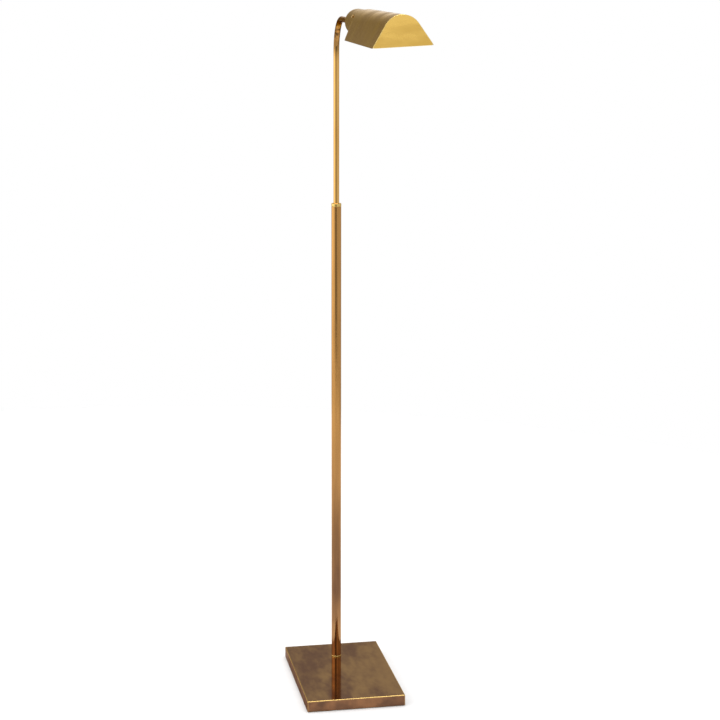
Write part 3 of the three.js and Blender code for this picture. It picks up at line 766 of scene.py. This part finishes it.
def build_dimmer():
    floor = KNOB_TO - KNOB_FACE
    knurl = (36, 0.45 * MM, KNOB_FROM + 0.7 * MM, KNOB_TO - 1.3 * MM)
    turned("dimmer_knob_turned", [
        (0, floor), (KNOB_BORE, floor), (KNOB_BORE, KNOB_FROM), (KNOB_RADIUS, KNOB_FROM, 0.5 * MM, 0.8),
        (KNOB_RADIUS, KNOB_TO, 0.9 * MM, 1.0), (0, KNOB_TO),
    ], ROD, "knob", ["dimmer_knob"], DIMMER, FLUTED_SIDES, knurl)


SOCKET_BORE = 14.2 * MM
SOCKET_FLOOR = 20 * MM  # depth of solid moulding behind the bore
SHADE_RING_BORE = 16.8 * MM
BULB_STEPS = 14
BULB_WALL = 0.9 * MM
BULB_TIP = 8 * MM  # nearer the axis than this the wall is also taken off the length
BULB_SIDES = 64


def build_socket():
    """The lamp holder, the knurled ring on it and the bulb's glass."""
    rear, front = reach("socket_body")
    radius = radius_of("socket_body")
    floor = rear + SOCKET_FLOOR
    turned("socket_body_moulded", [
        (0, rear), (radius, rear, 1 * MM), (radius, front, 0.8 * MM), (SOCKET_BORE, front, 0.5 * MM),
        (SOCKET_BORE, floor), (0, floor),
    ], PHENOLIC, "head", ["socket_body"], HEAD)
    back, tip = reach("shade_ring")
    ring = ring_section(SHADE_RING_BORE, radius_of("shade_ring"), back, tip, 0.5 * MM, 0.8)
    knurl = (48, 0.4 * MM, back + 0.8 * MM, tip - 0.8 * MM)
    turned("shade_ring_turned", ring, ROD, "head", ["shade_ring"], HEAD, FLUTED_SIDES,
           knurl)
    neck, end = reach("bulb_glass")
    glass = radius_of("bulb_glass")
    line = [(0, end)]
    for step in range(1, BULB_STEPS + 1):
        turn = step / BULB_STEPS * math.pi / 2
        line.append((glass * math.sin(turn), end - glass + glass * math.cos(turn)))
    line += [(glass, neck + 26 * MM), (glass - 0.8 * MM, neck + 20 * MM), (12.6 * MM, neck + 10 * MM),
             (12.2 * MM, neck)]
    inside = []
    for r, z in line:
        inside.append((max(r - BULB_WALL, 0), z - BULB_WALL if r < BULB_TIP else z))
    turned("bulb_glass_blown", (line + inside[::-1])[::-1], GLASS, "head", ["bulb_glass"], HEAD,
           BULB_SIDES)


# ---------------------------------------------------------------- finishes of the CAD nodes that stay

KEPT = {
    STEEL: ["stem_nipple", "nipple_nut", "lock_washer", "tube_foot_plug", "glide_clip_lower",
            "glide_clip_upper", "swivel_nipple", "spring_washer", "swivel_nut", "dimmer_shaft",
            "bulb_cap"],
    IRON: ["base_weight"],
    SHEATH: ["lead_upper"],
    NYLON: ["glide_bush"],
    FIBRE: ["friction_washer"],
    PHENOLIC: ["dimmer_body"],
    BRIGHT: ["dimmer_nut", "socket_shell", "socket_contact"],
}


def finish_kept_nodes():
    for material, names in KEPT.items():
        for name in names:
            node = frame["nodes"][name]
            for slot in node.material_slots:
                slot.material = material


# ---------------------------------------------------------------- studio

FLOOR_RADIUS, FLOOR_SIDES = 2.2, 96
FLOOR_CENTRE = (-0.5, -0.2)


def build_floor():
    """A pale disc, off centre to the left because the pole mirrors its edges."""
    verts = []
    for i in range(FLOOR_SIDES):
        angle = 2 * math.pi * i / FLOOR_SIDES
        verts.append((FLOOR_CENTRE[0] + FLOOR_RADIUS * math.cos(angle),
                      FLOOR_CENTRE[1] + FLOOR_RADIUS * math.sin(angle), 0))
    mesh = bpy.data.meshes.new("studio_floor")
    mesh.from_pydata(verts, [], [list(range(FLOOR_SIDES))])
    mesh.materials.append(plain("floor_paint", ((0.91, 0.91, 0.91), (0.93, 0.93, 0.93)), (0.8, 0.9)))
    floor = bpy.data.objects.new("studio_floor", mesh)
    bpy.context.scene.collection.objects.link(floor)


WORLD_LEVEL = 0.46

# Where the studio is brighter or dimmer than its level: a direction, the cosines where the change
# starts and is full, and the change. SIDE_LOBES go by compass bearing alone, at every height.
SIDE_LOBES = (
    ((-0.996, -0.087, 0), 0.60, 0.88, 0.5),  # a bright left side
    ((-0.292, -0.956, 0), 0.913, 0.978, -0.22),  # the dim side that the camera is on
    ((0.94, -0.34, 0), 0.50, 0.90, 0.2),  # a soft fill from the right
)
LOBES = (
    ((-0.80, 0.60, -0.05), 0.85, 0.95, 0.55),  # left and behind, mirrored by the pole's left edge
    ((0.17, -0.97, 0.17), 0.927, 0.978, 0.55),  # a panel in front, mirrored by the shade's end
    ((-0.93, -0.10, 0.36), 0.82, 0.906, 0.5),  # a panel high on the left
    ((0.25, 0.97, 0.0), 0.951, 0.99, 0.5),  # a panel low behind, mirrored by the shade's crown
    ((0.10, 0.98, 0.08), 0.979, 0.993, 0.5),  # a smaller one overlapping it, a little higher
    ((0, 0, 1), 0.45, 0.90, 0.35),  # the ceiling
)


def build_world():
    """White to the camera; what the brass mirrors is a soft studio with a dim camera side."""
    world = bpy.data.worlds.new("studio")
    bpy.context.scene.world = world
    world.use_nodes = True
    tree = world.node_tree
    background = tree.nodes["Background"]
    way = add_node(tree, "ShaderNodeTexCoord").outputs["Generated"]
    flat = add_node(tree, "ShaderNodeVectorMath", {"operation": "MULTIPLY"}, i0=way, i1=(1, 1, 0))
    bearing = add_node(tree, "ShaderNodeVectorMath", {"operation": "NORMALIZE"}, i0=flat.outputs[0])
    level = WORLD_LEVEL
    for followed, lobes in ((bearing.outputs[0], SIDE_LOBES), (way, LOBES)):
        for direction, start, full, change in lobes:
            towards = Vector(direction).normalized()
            facing = add_node(tree, "ShaderNodeVectorMath", {"operation": "DOT_PRODUCT"},
                              i0=followed, i1=towards).outputs["Value"]
            level = calc(tree, "ADD", remap(tree, facing, start, full, 0.0, change), level)
    seen = add_node(tree, "ShaderNodeLightPath").outputs["Is Camera Ray"]
    strength = add_node(tree, "ShaderNodeMix", {"data_type": "FLOAT"}, i0=seen, i2=level, i3=1.0)
    tree.links.new(strength.outputs[0], background.inputs["Strength"])
    background.inputs["Color"].default_value = (1, 1, 1, 1)


SOFTBOX_AT, SOFTBOX_TARGET = Vector((0, 0, 4.2)), Vector((0, -0.1, 0))
SOFTBOX_SIDE = 2.0
SOFTBOX_POWER = 78


def build_softbox():
    light = bpy.data.lights.new("overhead_softbox", "AREA")
    light.shape = "SQUARE"
    light.size = SOFTBOX_SIDE
    light.energy = SOFTBOX_POWER
    lamp = bpy.data.objects.new("overhead_softbox", light)
    lamp.location = SOFTBOX_AT
    lamp.rotation_euler = (SOFTBOX_TARGET - SOFTBOX_AT).to_track_quat("-Z", "Y").to_euler()
    bpy.context.scene.collection.objects.link(lamp)


CAMERA_AT = Vector((-0.531, -3.0418, 1.228))
CAMERA_YAW, CAMERA_PITCH, CAMERA_ROLL = math.radians(10.65), math.radians(12.35), math.radians(0.165)
CAMERA_LENS, CAMERA_SENSOR = 92.9, 36.0  # millimetres


def build_camera():
    """A camera that looks along +Y, turned right by its yaw, down by its pitch and then rolled."""
    yaw, pitch, roll = CAMERA_YAW, CAMERA_PITCH, CAMERA_ROLL
    out = Vector((math.sin(yaw) * math.cos(pitch), math.cos(yaw) * math.cos(pitch), -math.sin(pitch)))
    level_right = Vector((math.cos(yaw), -math.sin(yaw), 0))
    level_up = level_right.cross(out)
    right = level_right * math.cos(roll) + level_up * math.sin(roll)
    up = level_up * math.cos(roll) - level_right * math.sin(roll)
    data = bpy.data.cameras.new("camera")
    data.sensor_width = CAMERA_SENSOR
    data.lens = CAMERA_LENS
    data.clip_end = 50.0
    camera = bpy.data.objects.new("camera", data)
    camera.matrix_world = axes(right, up, -out, CAMERA_AT)
    bpy.context.scene.collection.objects.link(camera)
    bpy.context.scene.camera = camera


# ---------------------------------------------------------------- the lamp and its studio

build_camera()
build_base()
build_pole()
build_lead()
build_arm()
build_cup()
build_dimmer()
build_socket()
build_shade()
finish_kept_nodes()
build_floor()
build_world()
build_softbox()
bpy.context.scene.view_settings.view_transform = "Standard"
